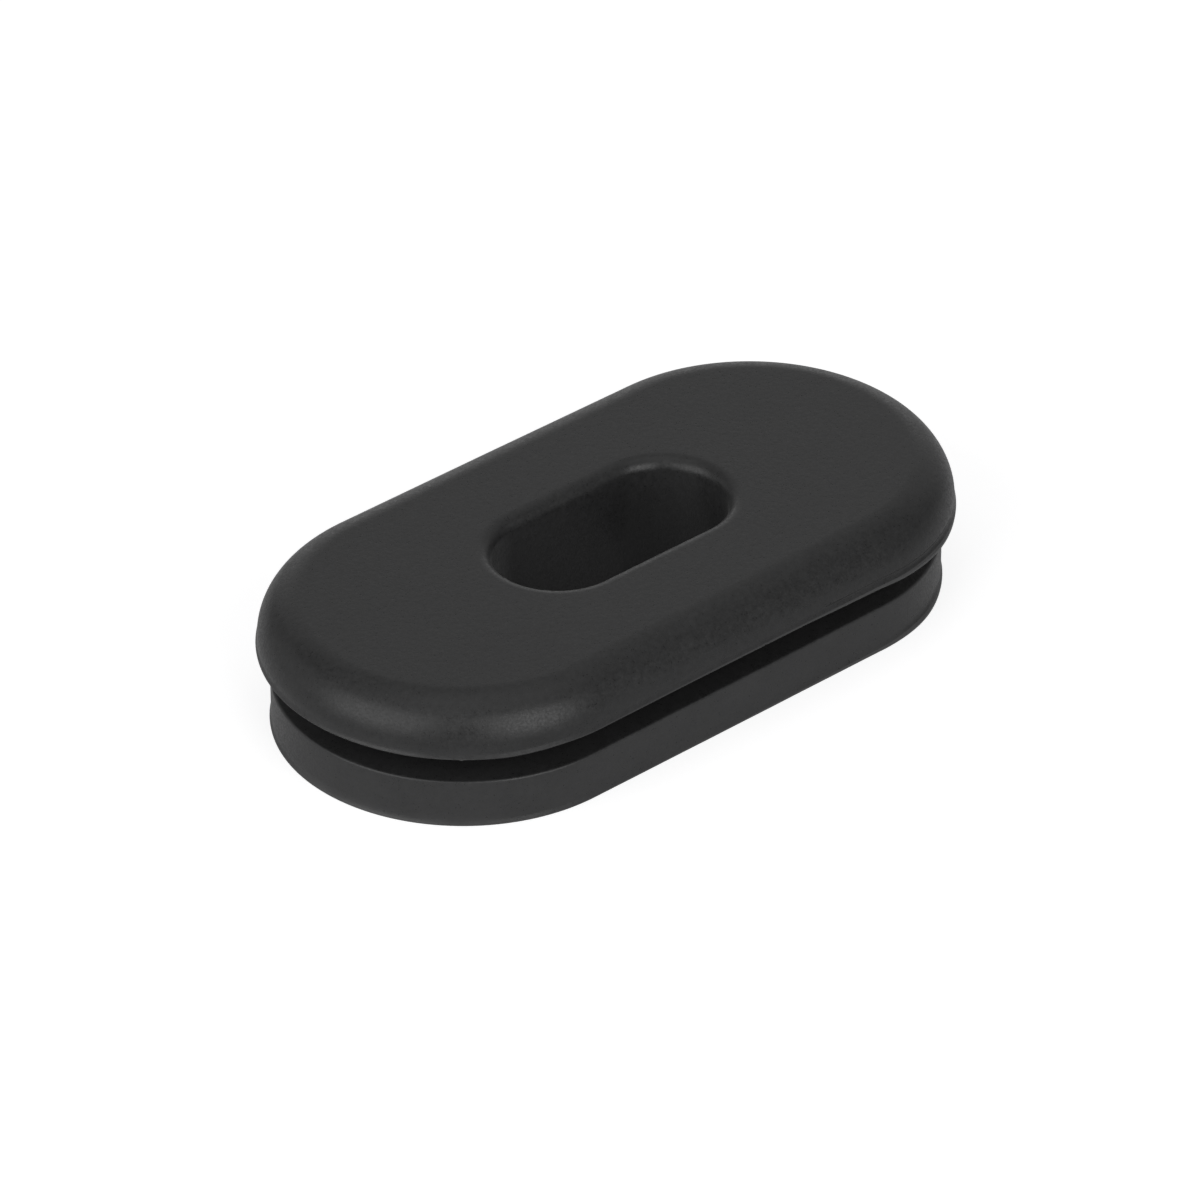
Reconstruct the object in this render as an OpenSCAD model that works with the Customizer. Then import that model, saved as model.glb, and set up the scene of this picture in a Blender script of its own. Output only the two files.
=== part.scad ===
// Oblong silicone plug with a slot through it. It is one moulding: a thick, well rounded
// top flange, a neck that fills a cut-out in a panel, and a slightly smaller bottom flange.
// The plug stands on the bottom flange. X runs along its length, Z is up, and the origin
// is in the middle of its underside.

/* [Panel cut-out] */
// Length of the oblong cut-out that the neck fills
cutout_length = 50; // [40:0.5:80]
// Width of the cut-out, which is twice the radius of its ends
cutout_width = 22; // [18:0.5:32]
// Thickness of the panel round the cut-out
panel_thickness = 2.5; // [1:0.1:5]
// Play that the groove leaves the panel, both sides together
groove_play = 0.2; // [0:0.05:0.6]
// Radius in the corners at the bottom of the groove
groove_corner_radius = 0.3; // [0.1:0.05:0.45]

/* [Top flange] */
// How far the top flange reaches over the panel, all round
top_reach = 4; // [1.5:0.1:6]
// Thickness of the top flange
top_thickness = 3.9; // [2:0.1:7]
// Radius of the large round along the top flange's upper edge
top_edge_radius = 3.3; // [0.5:0.1:5]

/* [Bottom flange] */
// How far the bottom flange reaches under the panel, all round
bottom_reach = 3.1; // [1:0.1:5]
// Thickness of the bottom flange
bottom_thickness = 3.8; // [1.5:0.1:7]
// Radius of the bottom flange's upper edge, which eases it through the cut-out
bottom_edge_radius = 0.2; // [0.1:0.05:0.8]

/* [Slot] */
// Length of the slot through the plug
slot_length = 19.9; // [14:0.1:28]
// Width of the slot, which is twice the radius of its ends
slot_width = 9.7; // [4:0.1:12]
// Radius of the slot's mouth in the top flange
slot_mouth_radius = 0.85; // [0.2:0.05:1.4]
// Radius of the slot's edge in the underside
slot_foot_radius = 0.3; // [0.1:0.05:0.6]

/* [Parting lips] */
// Height of the thin lip that the mould's joint leaves along the lower edge of each flange
lip_height = 0.16; // [0.1:0.02:0.3]
// Height of the slope above the lip, over which the flange flares out to it
lip_flare = 0.28; // [0.1:0.02:0.5]
// How far the lip stands out from the flange
lip_reach = 0.12; // [0.05:0.01:0.14]

/* [Hidden] */

$fn = 96;

// What a cutter reaches past the face that it cuts
spill = 0.5;
// Least straight wall above a flange's lip
least_land = 0.1;
// Least flat left between two rounds on one face
least_flat = 0.5;

// Half of the distance between the centres of the round ends
body_half_span = (cutout_length - cutout_width) / 2;
slot_half_span = (slot_length - slot_width) / 2;

// Radii round those centres
neck_radius = cutout_width / 2;
top_radius = neck_radius + top_reach;
bottom_radius = neck_radius + bottom_reach;
slot_radius = slot_width / 2;

// Heights of the groove's two faces and of the top
groove_floor_z = bottom_thickness;
groove_roof_z = groove_floor_z + panel_thickness + groove_play;
top_z = groove_roof_z + top_thickness;

// Rounds, kept within the walls that carry them
top_round = min(
    top_edge_radius,
    top_thickness - lip_height - lip_flare - least_land,
    top_radius - slot_radius - slot_mouth_radius - least_flat
);
bottom_round = min(bottom_edge_radius, bottom_thickness - lip_height - lip_flare - least_land);

// What rounding takes off a corner at the origin that points to +X and +Y
module corner_cut(radius) {
    difference() {
        translate([-radius, -radius]) square(radius + spill);
        translate([-radius, -radius]) circle(radius);
    }
}

// What fills an inner corner at the origin that opens to +X and +Y
module corner_fill(radius) {
    difference() {
        translate([-spill, -spill]) square(radius + spill);
        translate([radius, radius]) circle(radius);
    }
}

// Half section of a flange, from its axis out: a slab with a rounded upper edge,
// and the parting lip along its lower one
module flange_section(radius, thickness, upper_round) {
    difference() {
        square([radius, thickness]);
        translate([radius, thickness]) corner_cut(upper_round);
    }
    polygon([
        [0, 0],
        [radius + lip_reach, 0],
        [radius + lip_reach, lip_height],
        [radius, lip_height + lip_flare],
        [0, lip_height + lip_flare]
    ]);
}

// Half section of the neck, which reaches into both flanges and meets them in small fillets
module neck_section() {
    translate([0, groove_floor_z - spill])
        square([neck_radius, groove_roof_z - groove_floor_z + 2 * spill]);
    translate([neck_radius, groove_floor_z]) corner_fill(groove_corner_radius);
    translate([neck_radius, groove_roof_z]) mirror([0, 1]) corner_fill(groove_corner_radius);
}

// Half section of the whole body, before the slot is cut
module body_section() {
    flange_section(bottom_radius, bottom_thickness, bottom_round);
    neck_section();
    translate([0, groove_roof_z]) flange_section(top_radius, top_thickness, top_round);
}

// Half section of the slot's cutter: straight walls that flare at both faces
module slot_section() {
    translate([0, -spill]) square([slot_radius, top_z + 2 * spill]);
    translate([slot_radius, top_z]) mirror([0, 1]) corner_fill(slot_mouth_radius);
    translate([slot_radius, 0]) corner_fill(slot_foot_radius);
}

// Carries a half section round an oblong: half a turn at each end, and a straight run
// along each side
module round_oblong(half_span) {
    for (turn = [0, 180]) {
        rotate(turn) {
            translate([half_span, 0, 0]) rotate(-90) rotate_extrude(angle = 180) children();
            translate([-half_span, 0, 0]) rotate([90, 0, 90]) linear_extrude(2 * half_span) children();
        }
    }
}

// The plug: the oblong body with the slot cut through it
module plug() {
    color([0.16, 0.16, 0.17])
        difference() {
            round_oblong(body_half_span) body_section();
            round_oblong(slot_half_span) slot_section();
        }
}

plug();
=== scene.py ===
import bpy
import numpy as np
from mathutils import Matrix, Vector


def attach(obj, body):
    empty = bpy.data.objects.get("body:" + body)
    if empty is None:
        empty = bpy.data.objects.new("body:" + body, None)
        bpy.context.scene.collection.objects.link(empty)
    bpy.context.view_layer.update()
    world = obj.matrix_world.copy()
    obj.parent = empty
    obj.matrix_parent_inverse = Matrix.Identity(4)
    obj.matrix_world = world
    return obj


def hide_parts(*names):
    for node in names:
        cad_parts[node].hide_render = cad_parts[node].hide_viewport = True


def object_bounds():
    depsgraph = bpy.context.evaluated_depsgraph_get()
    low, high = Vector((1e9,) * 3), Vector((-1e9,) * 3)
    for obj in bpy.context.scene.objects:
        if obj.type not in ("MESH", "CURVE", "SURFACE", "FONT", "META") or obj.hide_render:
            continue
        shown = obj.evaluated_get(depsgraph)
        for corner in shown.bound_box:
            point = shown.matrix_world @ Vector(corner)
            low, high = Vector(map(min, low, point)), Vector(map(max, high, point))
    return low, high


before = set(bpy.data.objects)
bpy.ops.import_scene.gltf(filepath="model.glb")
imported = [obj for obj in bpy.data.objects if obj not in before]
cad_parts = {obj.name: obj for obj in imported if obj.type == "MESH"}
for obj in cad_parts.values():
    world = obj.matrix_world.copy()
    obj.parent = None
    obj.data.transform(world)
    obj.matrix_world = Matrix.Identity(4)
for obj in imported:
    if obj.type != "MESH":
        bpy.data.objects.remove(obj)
cadLow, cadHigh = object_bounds()
mm = 0.001
print("frame loaded:", sorted(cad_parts))


class Wire:
    # An output socket. Arithmetic on it adds Math nodes to its bench.
    def __init__(self, bench, socket):
        self.bench = bench
        self.socket = socket

    def maths(self, operation, first, second=0):
        made = self.bench.node("ShaderNodeMath", {"operation": operation}, {0: first, 1: second})
        return made["Value"]

    def __add__(self, other):
        return self.maths("ADD", self, other)

    def __radd__(self, other):
        return self.maths("ADD", other, self)

    def __sub__(self, other):
        return self.maths("SUBTRACT", self, other)

    def __rsub__(self, other):
        return self.maths("SUBTRACT", other, self)

    def __mul__(self, other):
        return self.maths("MULTIPLY", self, other)

    def __rmul__(self, other):
        return self.maths("MULTIPLY", other, self)

    def __truediv__(self, number):
        # Only by a plain number.
        return self.maths("MULTIPLY", self, 1 / number)

    def __gt__(self, other):
        return self.maths("GREATER_THAN", self, other)

    def __lt__(self, other):
        return self.maths("LESS_THAN", self, other)

    def atLeast(self, other):
        return self.maths("MAXIMUM", self, other)

    def size(self):
        return self.maths("ABSOLUTE", self)

    def root(self):
        return self.maths("SQRT", self)


class Bench:
    # The node tree of one material or world, emptied and ready to be wired.
    def __init__(self, owner):
        owner.use_nodes = True
        self.tree = owner.node_tree
        self.tree.nodes.clear()

    def node(self, kind, settings=None, sockets=None):
        # Settings go first, because some of them change which sockets there are.
        made = self.tree.nodes.new(kind)
        for name, value in (settings or {}).items():
            setattr(made, name, value)
        for name, value in (sockets or {}).items():
            if isinstance(name, int):
                target = made.inputs[name]
            else:
                target = next(s for s in made.inputs if s.enabled and s.name == name)
            if isinstance(value, Wire):
                self.tree.links.new(value.socket, target)
            else:
                target.default_value = value
        return {out.name: Wire(self, out) for out in made.outputs if out.enabled}


# The moulded silicone: charcoal, matte, with a fine grain from the mould and a little dust. It also
# has painted shade in tiny pits and a painted reflection of the lit table on its lower parts and
# lips.
# Greys are linear. A noise is a row of the size of its lumps, its detail and its roughness.
silicone = {
    "charcoal": 0.0150,               # grey of clean silicone
    "dusty": 0.0362,                  # where the grain holds a little dust
    "paintedReflection": 0.075,                    # of a lighter grey: painted reflection of the lit table, and painted light lines on the lips
    "mote": 0.038,                    # of a mote of dust
    "pitShade": 0.008,                     # and of the painted shade of a tiny pit
    "grain": (0.45 * mm, 2.5, 0.65),
    "mottle": (3.0 * mm, 4.0, 0.55),
    "sparkle": (0.17 * mm, 1.0, 0.5),
    "noiseMean": 0.5,
    "grainDust": 0.9,                 # how much dustier it is on the grain
    "mottleDust": 0.25,               # and on the mottling
    "cleanness": 0.075,               # what is taken off the sum of both
    "moteSpacing": 1.3 * mm,
    "moteSize": 0.07 * mm,
    "pitShare": 0.3,                  # this share of the places for a mote has a pit's painted shade
    "moteFrom": 0.65,                 # and what lies past this share has a mote
    "footShare": 0.265,               # how much of the painted reflection lies on the lower flange's wall
    "footLeast": 0.5,                 # even where the mottling has none
    "footFade": 0.10,                 # and a little more of it towards the foot
    "slotClear": 4.0 * mm,            # none of it nearer than this to the slot's wall
    "lipShare": 0.95,                 # along the lips
    "lipMiddle": 0.55,                # the part of that halfway along the plug
    "lipSpan": 60.0 * mm,             # it grows by all of it over this length, towards +X
    "lipFrom": 0.085 * mm,            # how far past the wall a lip counts as one
    "leftFrom": 15.0 * mm,            # the left end starts here, and has more painted reflection
    "leftFoot": 1.3,                  # most of it near the foot
    "footRise": 0.9 * mm,             # up to this height
    "leftLip": 0.7,                   # and some above the upper lip
    "lipLightRise": 1.1 * mm,
    "edgeSlack": 0.05 * mm,           # how near to a flange's edge a point counts as past it
    "roughness": 0.39,
    "mottleRoughness": 0.10,          # how much it changes with the mottling
    "grainRoughness": 0.25,           # with the grain
    "sparkleRoughness": 0.50,         # and from one fine grain to the next
    "leastRoughness": 0.27,
    "grainDepth": 0.020 * mm,
    "mottleDepth": 0.6,               # as a share of the grain's
    "refraction": 1.42,               # its index
    "sheen": 0.12,
    "sheenRoughness": 0.3,
}
coolness = 1.01    # every grey has this much more blue than red
pureWhite = (1, 1, 1, 1)


def grey(value):
    return (value, value, value * coolness, 1.0)


def makeSilicone():
    s = silicone
    made = bpy.data.materials.new("charcoal_silicone")
    bench = Bench(made)
    place = bench.node("ShaderNodeTexCoord")["Object"]

    def noise(size, detail, roughness):
        # Soft lumps of about one size, from 0 to 1.
        return bench.node("ShaderNodeTexNoise", {}, {
            "Vector": place, "Scale": 1 / size, "Detail": detail, "Roughness": roughness})["Fac"]

    def blend(share, first, second):
        # First where the share is 0, second where it is 1.
        return bench.node("ShaderNodeMix", {"data_type": "RGBA"}, {
            "Factor": share, "A": first, "B": second})["Result"]

    grain = noise(*s["grain"])
    mottle = noise(*s["mottle"])
    sparkle = noise(*s["sparkle"])

    # A mote, or a pit's painted shade, is a small ball round the middle of some of the cells of a
    # loose lattice.
    cell = bench.node("ShaderNodeTexVoronoi", {"feature": "F1"}, {
        "Vector": place, "Scale": 1 / s["moteSpacing"], "Randomness": 1.0})
    drawn = bench.node("ShaderNodeSeparateColor", {}, {"Color": cell["Color"]})["Red"]
    near = cell["Distance"] < s["moteSize"] / s["moteSpacing"]

    # Across is how far a point is from the line between the centres of the round ends. Low is
    # 1 on the lower flange, and onLip on both lips.
    axes = bench.node("ShaderNodeSeparateXYZ", {}, {"Vector": place})
    x, y, z = axes["X"], axes["Y"], axes["Z"]
    beyond = (x.size() - plug["span"]).atLeast(0)
    across = (beyond * beyond + y * y).root()
    belowGroove = z < plug["bottomThickness"] - s["edgeSlack"]
    low = belowGroove * (across > plug["slotRadius"] + s["slotClear"])
    wall = cadHigh.y - plug["lipReach"] - low * (plug["topReach"] - plug["bottomReach"])
    onLip = across > wall + s["lipFrom"]

    # How near a point is to the foot and to the upper lip, from 0 to 1, and how far it is past
    # the start of the left end, as a share of the way there.
    roof = plug["height"] - plug["topThickness"]
    nearFoot = (1 - z / s["footRise"]).atLeast(0)
    aboveLip = (1 - (z - roof) / s["lipLightRise"]).atLeast(0)
    nearLip = aboveLip * (z > roof - s["edgeSlack"])
    leftward = (-1 - x / s["leftFrom"]).atLeast(0)

    # The painted reflection's share is the sum of what lies on the lower wall, on the lips, towards
    # the foot and at the left end.
    onWall = low * s["footShare"] * (s["footLeast"] + mottle)
    onLips = onLip * (s["lipShare"] * (s["lipMiddle"] + x / s["lipSpan"]))
    rising = low * s["footFade"] * (1 - z / plug["bottomThickness"])
    lowLeft = leftward * low * nearFoot * s["leftFoot"]
    atLeft = leftward * mottle * (lowLeft + nearLip * s["leftLip"])
    reflectionShare = onWall + onLips + rising + atLeft

    dusty = s["grainDust"] * grain + s["mottleDust"] * mottle - s["cleanness"]
    bare = blend(dusty, grey(s["charcoal"]), grey(s["dusty"]))
    # Painted light: a lighter grey stands in for the lit table's reflection on the lower parts and
    # for light lines along the lips.
    withPaintedReflection = blend(reflectionShare, bare, grey(s["paintedReflection"]))
    # Painted shade: tiny pits are coloured darker than the charcoal.
    pitShaded = blend(near * (drawn < s["pitShare"]), withPaintedReflection, grey(s["pitShade"]))
    colour = blend(near * (drawn > s["moteFrom"]), pitShaded, grey(s["mote"]))

    roughness = s["roughness"] + s["mottleRoughness"] * (mottle - s["noiseMean"])
    roughness = roughness + s["grainRoughness"] * (grain - s["noiseMean"])
    roughness = roughness + s["sparkleRoughness"] * (sparkle - s["noiseMean"])
    normal = bench.node("ShaderNodeBump", {}, {
        "Strength": 1.0,
        "Distance": s["grainDepth"],
        "Height": grain + s["mottleDepth"] * mottle})["Normal"]
    skin = bench.node("ShaderNodeBsdfPrincipled", {}, {
        "Base Color": colour,
        "Roughness": roughness.atLeast(s["leastRoughness"]),
        "IOR": s["refraction"],
        "Sheen Weight": s["sheen"],
        "Sheen Roughness": s["sheenRoughness"],
        "Normal": normal})["BSDF"]
    bench.node("ShaderNodeOutputMaterial", {}, {"Surface": skin})
    return made


# The plug's section and the oblong that it is carried round. Sizes are in metres; the outer
# size and the height are the CAD part's own. Angles are degrees round from +X, seen from above.
plug = {
    "height": cadHigh.z,
    "span": cadHigh.x - cadHigh.y,      # from the middle to the centre of each round end
    "topReach": 4.0 * mm,               # past the neck
    "bottomReach": 3.13 * mm,
    "topThickness": 3.94 * mm,
    "bottomThickness": 3.8 * mm,
    "topRound": 3.3 * mm,
    "bottomRound": 0.2 * mm,
    "grooveRound": 0.3 * mm,
    "slotSpan": 5.1 * mm,               # from the middle to the centre of each of its ends
    "slotRadius": 4.85 * mm,
    "mouthRound": 1.0 * mm,
    "mouthSlope": 12.0,                 # degrees that the top has sunk where that round starts
    "mouthEase": 1.6 * mm,              # radius of the wide round that eases the top into it
    "mouthGap": 0.01 * mm,              # between the two
    "footRound": 0.3 * mm,
    "lipReach": 0.12 * mm,              # both flanges have a thin lip at their lower edges
    "lipHeight": 0.10 * mm,
    "lipRound": 0.08 * mm,
    "lipRise": 0.35 * mm,               # the wall flares out to it over this height
    "lipFillet": 0.50 * mm,             # starting with this radius
    # Shares are rows of an angle and how far the lip has changed there, from 0 to 1.
    "softReach": 0.14 * mm,             # it is softer at the front of the left end
    "softRise": 0.24 * mm,
    "softFillet": 0.65 * mm,
    "softShares": ((150, 0), (180, 1), (205, 1), (213, 0.4), (222, 0.15), (234, 0)),
    "broadHeight": 0.26 * mm,           # and broader at the front of the right end
    "broadReach": 0.20 * mm,
    "broadRise": 0.44 * mm,
    "broadFillet": 0.55 * mm,
    "broadShares": ((275, 0), (300, 0.5), (318, 1), (328, 1), (342, 0)),
    "lipMean": 0.88,                    # its reach wanders, as a share, by waves round the rim
    "lipWaves": ((0.07, 3), (0.03, 17)),    # rows of a height and how many waves there are
    "flare": 1.0,                       # and grows by this share at one place
    "flareAngle": 324.0,
    "flareHalfWidth": 8.0,              # in degrees
    "rimLevels": (                      # rows of an angle and how much higher the rim is, in mm
        (0, -0.12), (40, 0), (90, 0.05), (170, 0), (190, -0.03), (200, -0.08), (212, -0.12),
        (220, 0.05), (240, 0.10), (252, 0.12), (280, 0.11), (290, 0.10), (302, 0),
        (310, -0.05), (316, -0.20), (330, -0.28), (345, -0.22)),
    "rimBend": 1.5,                     # power of the way out at which it comes to that level
    "nibAngle": 228.6,                  # a nib of flash on the left end's rim
    "nibDepth": 0.09 * mm,
    "nibHalfWidth": 0.5,                # in degrees
    "nibFrom": 0.5,                     # the lip hangs below this share of its height
    "nibSpan": 3.0,                     # how many half widths on either side get finer columns
    "nibColumns": 13,
    "endSteps": 112,
    "sideSteps": 56,
}


def sectionLoop(corners):
    # Carries a point round a closed section. Corners are rows of across, up, span, rounding
    # radius, steps round the corner and steps along the straight after it. At a corner the
    # point runs on a circle that touches both sides: centre = corner + (u + v)/|u + v| *
    # radius/sin(half the angle), where u and v point to the corners before and after.
    rows = []
    starts, ends = [], []
    for index, corner in enumerate(corners):
        here = np.array(corner[:2])
        u = np.array(corners[index - 1][:2]) - here
        v = np.array(corners[(index + 1) % len(corners)][:2]) - here
        u, v = u / np.linalg.norm(u), v / np.linalg.norm(v)
        radius, steps = corner[3], corner[4]
        half = 0.5 * np.arccos(np.clip(u @ v, -1, 1))
        middle = here + (u + v) / np.linalg.norm(u + v) * radius / np.sin(half)
        first, last = here + u * radius / np.tan(half), here + v * radius / np.tan(half)
        a, b = first - middle, last - middle
        turn = np.pi - 2 * half
        share = np.linspace(0, 1, steps + 1)[:, None]
        arc = middle + (np.sin((1 - share) * turn) * a + np.sin(share * turn) * b) / np.sin(turn)
        starts.append(np.append(arc[0], corner[2]))
        ends.append(np.append(arc[-1], corner[2]))
        rows.append(np.column_stack([arc, np.full(steps + 1, corner[2])]))
    loop = []
    for index, corner in enumerate(corners):
        after = starts[(index + 1) % len(corners)]
        share = np.linspace(0, 1, corner[5] + 1)[1:-1, None]
        loop += [rows[index], (1 - share) * ends[index] + share * after]
    return np.concatenate(loop)


def oblongPath():
    # Once round an oblong of unit span: columns are the centre's place from -1 to 1, and the
    # outward direction's x and y. Half a turn at each end, and a straight run between.
    s = plug
    aside = np.linspace(-s["nibSpan"], s["nibSpan"], s["nibColumns"])
    nib = s["nibAngle"] + s["nibHalfWidth"] * aside
    right = np.radians(np.linspace(-90, 90, s["endSteps"] + 1))
    left = np.radians(np.unique(np.append(np.linspace(90, 270, s["endSteps"] + 1), nib)))
    run = np.linspace(1, -1, s["sideSteps"] + 1)[1:-1]
    flat = np.zeros_like(run)
    return np.concatenate([
        np.column_stack([np.ones_like(right), np.cos(right), np.sin(right)]),
        np.column_stack([run, flat, flat + 1]),
        np.column_stack([-np.ones_like(left), np.cos(left), np.sin(left)]),
        np.column_stack([-run, flat, flat - 1]),
    ])


def plugSurface():
    # Point(path, section) = centre(path) * span(section) + direction(path) * across(section),
    # at height up(section).
    s = plug
    outer = cadHigh.y
    topRadius = outer - s["lipReach"]
    neckRadius = topRadius - s["topReach"]
    bottomRadius = neckRadius + s["bottomReach"]
    roof = s["height"] - s["topThickness"]
    floor = s["bottomThickness"]
    bottomOuter = bottomRadius + s["lipReach"]

    # The mouth's two corners lie as far apart as their rounds take up along the slope between.
    slope = np.radians(s["mouthSlope"])
    easeLength = s["mouthEase"] * np.tan(slope / 2)
    roundLength = s["mouthRound"] * np.tan(np.pi / 4 - slope / 2)
    along = easeLength + roundLength + s["mouthGap"]
    mouthRadius = s["slotRadius"] + along * np.cos(slope)
    mouthLevel = s["height"] - along * np.sin(slope)

    def section(reach, lip, rise, fillet):
        # From the slot's mouth over the top, down the outside and back under the foot.
        return sectionLoop([
            (s["slotRadius"], mouthLevel, s["slotSpan"], s["mouthRound"], 14, 1),
            (mouthRadius, s["height"], s["slotSpan"], s["mouthEase"], 5, 26),
            (outer - reach, s["height"], s["span"], s["topRound"], 44, 2),
            (outer - reach, roof + lip + rise, s["span"], fillet, 6, 2),
            (outer, roof + lip, s["span"], s["lipRound"], 5, 1),
            (outer, roof, s["span"], s["lipRound"], 4, 8),
            (neckRadius, roof, s["span"], s["grooveRound"], 6, 8),
            (neckRadius, floor, s["span"], s["grooveRound"], 6, 6),
            (bottomOuter - reach, floor, s["span"], s["bottomRound"], 8, 10),
            (bottomOuter - reach, lip + rise, s["span"], fillet, 6, 2),
            (bottomOuter, lip, s["span"], s["lipRound"], 5, 1),
            (bottomOuter, 0, s["span"], s["lipRound"], 4, 18),
            (s["slotRadius"], 0, s["slotSpan"], s["footRound"], 8, 24),
        ])

    # Three sections are mixed by shares that change with the angle round the middle. The broad
    # lip's share starts and ends gently: share^2 * (3 - 2 * share).
    centre, alongX, alongY = oblongPath().T
    turn = np.degrees(np.arctan2(outer * alongY, centre * s["span"] + outer * alongX)) % 360
    soft = np.interp(turn, *zip(*s["softShares"]))[:, None, None]
    broad = np.interp(turn, *zip(*s["broadShares"]))[:, None, None]
    broad = broad * broad * (3 - 2 * broad)
    crispLoop = section(s["lipReach"], s["lipHeight"], s["lipRise"], s["lipFillet"])
    softLoop = section(s["softReach"], s["lipHeight"], s["softRise"], s["softFillet"])
    broadLoop = section(s["broadReach"], s["broadHeight"], s["broadRise"], s["broadFillet"])
    blended = crispLoop + soft * (softLoop - crispLoop) + broad * (broadLoop - crispLoop)
    across, up, span = np.moveaxis(blended, 2, 0)
    isTop = up > 0.5 * (roof + floor)

    # The lips' reach wanders round the rim, and flares at one place: reach * (waves + flare *
    # exp(-(angle off / half width)^2)).
    radians = np.radians(turn)
    waves = s["lipMean"] + sum(high * np.sin(count * radians) for high, count in s["lipWaves"])
    flare = s["flare"] * np.exp(-((turn - s["flareAngle"]) / s["flareHalfWidth"]) ** 2)
    wall = np.where(isTop, topRadius, bottomRadius)
    onLip = np.clip((across - wall) / s["lipReach"], 0, 1)
    reach = across + (waves + flare - 1)[:, None] * s["lipReach"] * onLip

    x = centre[:, None] * span + alongX[:, None] * reach
    y = alongY[:, None] * reach
    z = up.copy()

    # From the start of its large round out, the top flange lies a little higher or lower: level
    # * (way out from there)^bend.
    level = np.interp(turn, *zip(*s["rimLevels"]), period=360) * mm
    past = np.hypot(np.maximum(abs(x) - s["span"], 0), y) - (topRadius - s["topRound"])
    z += np.clip(past / s["topRound"], 0, 1) ** s["rimBend"] * isTop * level[:, None]

    # The nib hangs from the lip's lower edge: depth * exp(-(angle off / half width)^2).
    angle = np.degrees(np.arctan2(alongY, alongX)) % 360
    off = (angle - s["nibAngle"]) / s["nibHalfWidth"]
    hang = onLip * isTop * (up < roof + s["nibFrom"] * s["lipHeight"])
    z -= s["nibDepth"] * np.exp(-off ** 2)[:, None] * hang
    return np.stack([x, y, z], 2)


def closedGrid(name, points):
    # A mesh over a grid that closes on itself both ways. Its volume is a sixth of the sum of
    # a . (b x c) + a . (c x d) over its faces, and where that is below 0 they are turned round.
    rows, columns = points.shape[:2]
    index = np.arange(rows * columns).reshape(rows, columns)
    nextRow, nextColumn = np.roll(index, -1, 0), np.roll(index, -1, 1)
    both = np.roll(nextRow, -1, 1)
    faces = np.stack([index, nextColumn, both, nextRow], 2).reshape(-1, 4)
    flat = points.reshape(-1, 3)
    a, b, c, d = (flat[faces[:, k]] for k in range(4))
    if np.sum(a * np.cross(b, c)) + np.sum(a * np.cross(c, d)) < 0:
        faces = faces[:, ::-1]
    mesh = bpy.data.meshes.new(name)
    mesh.vertices.add(len(flat))
    mesh.vertices.foreach_set("co", flat.astype(np.float32).ravel())
    mesh.loops.add(faces.size)
    mesh.loops.foreach_set("vertex_index", faces.astype(np.int32).ravel())
    mesh.polygons.add(len(faces))
    mesh.polygons.foreach_set("loop_start", np.arange(0, faces.size, 4, dtype=np.int32))
    mesh.update(calc_edges=True)
    mesh.validate()
    mesh.shade_smooth()
    made = bpy.data.objects.new(name, mesh)
    bpy.context.scene.collection.objects.link(made)
    return made


body = closedGrid("moulded_plug", plugSurface())
body.data.materials.append(makeSilicone())
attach(body, "root")
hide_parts("plug")
print("plug made:", len(body.data.polygons), "faces")


# The table it stands on. It lights the plug as a pale grey one, and the camera sees it white.
table = {
    "half": 0.6,               # half of its width, in metres
    "white": 0.505,
    "seenGlow": 0.75,          # what is added where the camera sees it
    "mirroredGlow": 0.118,     # and where the plug mirrors it
}


def makeTable():
    h = table["half"]
    mesh = bpy.data.meshes.new("table_top")
    mesh.from_pydata([(-h, -h, 0), (h, -h, 0), (h, h, 0), (-h, h, 0)], [], [(0, 1, 2, 3)])
    made = bpy.data.objects.new("table_top", mesh)
    bpy.context.scene.collection.objects.link(made)
    paper = bpy.data.materials.new("white_table")
    bench = Bench(paper)
    ray = bench.node("ShaderNodeLightPath")
    seen = ray["Is Camera Ray"] * table["seenGlow"]
    mirrored = ray["Is Glossy Ray"] * table["mirroredGlow"]
    lit = bench.node("ShaderNodeBsdfDiffuse", {}, {"Color": grey(table["white"])})["BSDF"]
    glow = bench.node("ShaderNodeEmission", {}, {
        "Color": pureWhite, "Strength": seen + mirrored})["Emission"]
    both = bench.node("ShaderNodeAddShader", {}, {0: lit, 1: glow})["Shader"]
    bench.node("ShaderNodeOutputMaterial", {}, {"Surface": both})
    mesh.materials.append(paper)
    return made


makeTable()
print("table made")


# The studio: an even dim surround and large soft lamps. Directions are degrees round from -Y
# towards +X, and degrees up; every lamp looks at the plug. Distances and sizes are in metres.
studio = {
    "surround": 0.13,          # how brightly the surround lights the plug
    "seenWhite": 1.0,          # and how bright the camera sees it
}
lamps = {
    "left": {"round": -87.1, "up": 26.1, "away": 0.6, "wide": 0.575, "high": 0.528, "glow": 1.71},
    "front": {"round": -6.2, "up": 25.5, "away": 0.6, "wide": 0.425, "high": 0.494, "glow": 2.486},
    "above": {"round": 1.1, "up": 89, "away": 0.7, "wide": 0.747, "high": 0.601, "glow": 0.574},
    "behind": {"round": 132.6, "up": 24.7, "away": 0.8, "wide": 1.4, "high": 0.858, "glow": 0.279},
    "horizon": {"round": 139.9, "up": 9.8, "away": 0.8, "wide": 0.574, "high": 0.267, "glow": 0.418},
    "beside": {"round": -124.4, "up": 19.6, "away": 0.8, "wide": 1.354, "high": 0.438, "glow": 0.311},
}


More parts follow.
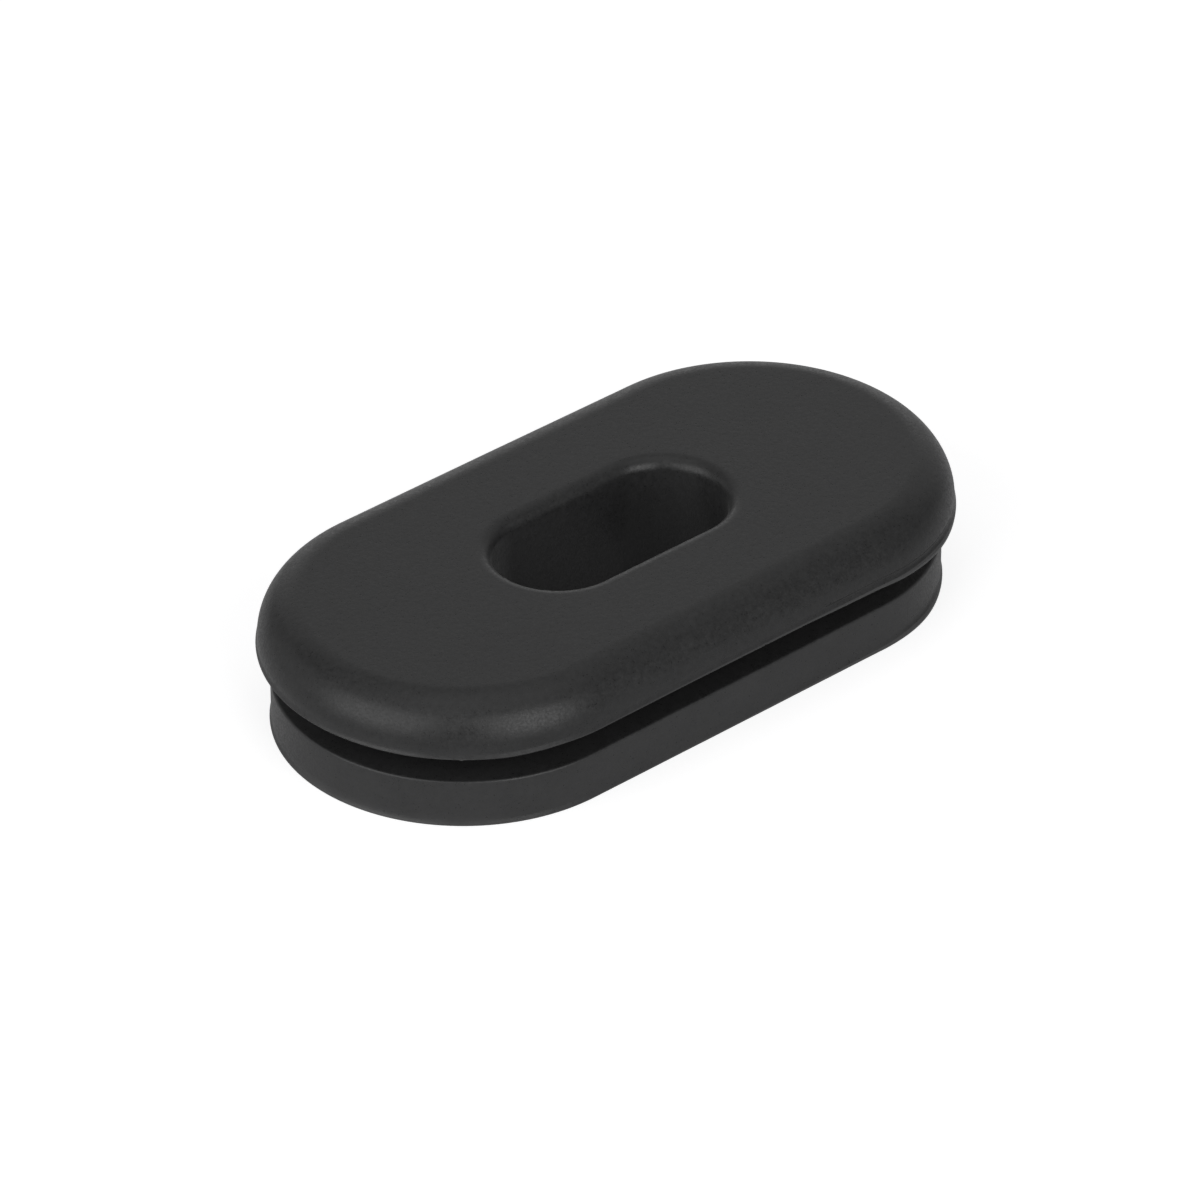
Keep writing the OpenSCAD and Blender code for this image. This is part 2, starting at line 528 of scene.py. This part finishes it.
def fromDirection(roundDegrees, upDegrees):
    # Towards a place: (sin round * cos up, -cos round * cos up, sin up).
    a, e = np.radians(roundDegrees), np.radians(upDegrees)
    return Vector((np.sin(a) * np.cos(e), -np.cos(a) * np.cos(e), np.sin(e)))


def makeStudio():
    # A lamp's power is glow * pi * its area, so its glow is how bright it looks.
    world = bpy.data.worlds.new("studio")
    bpy.context.scene.world = world
    bench = Bench(world)
    seen = bench.node("ShaderNodeLightPath")["Is Camera Ray"]
    strength = studio["surround"] + seen * (studio["seenWhite"] - studio["surround"])
    sky = bench.node("ShaderNodeBackground", {}, {"Color": pureWhite, "Strength": strength})
    bench.node("ShaderNodeOutputWorld", {}, {"Surface": sky["Background"]})
    for name, lamp in lamps.items():
        data = bpy.data.lights.new(name, "AREA")
        data.shape = "RECTANGLE"
        data.size, data.size_y = lamp["wide"], lamp["high"]
        data.energy = lamp["glow"] * np.pi * lamp["wide"] * lamp["high"]
        made = bpy.data.objects.new(name, data)
        towards = fromDirection(lamp["round"], lamp["up"])
        made.location = towards * lamp["away"]
        made.rotation_euler = towards.to_track_quat("Z", "Y").to_euler()
        bpy.context.scene.collection.objects.link(made)


makeStudio()
print("studio lit")


# The camera looks at its aim from a direction given as the lamps' are.
camera = {
    "round": -41.33,
    "up": 34.14,
    "away": 579.1 * mm,
    "aim": (-0.875 * mm, 0.164 * mm, 3.859 * mm),
    "lens": 237.2,             # focal length and sensor width are in mm, as Blender takes them
    "sensor": 36.0,
    "nearest": 0.01,           # what it can see lies between these, in metres
    "furthest": 20.0,
}


def makeCamera():
    data = bpy.data.cameras.new("camera")
    data.sensor_width = camera["sensor"]
    data.lens = camera["lens"]
    data.clip_start = camera["nearest"]
    data.clip_end = camera["furthest"]
    made = bpy.data.objects.new("camera", data)
    back = fromDirection(camera["round"], camera["up"])
    made.location = Vector(camera["aim"]) + back * camera["away"]
    made.rotation_euler = back.to_track_quat("Z", "Y").to_euler()
    bpy.context.scene.collection.objects.link(made)
    bpy.context.scene.camera = made


makeCamera()
print("camera placed")
bpy.context.scene.view_settings.view_transform = "Standard"
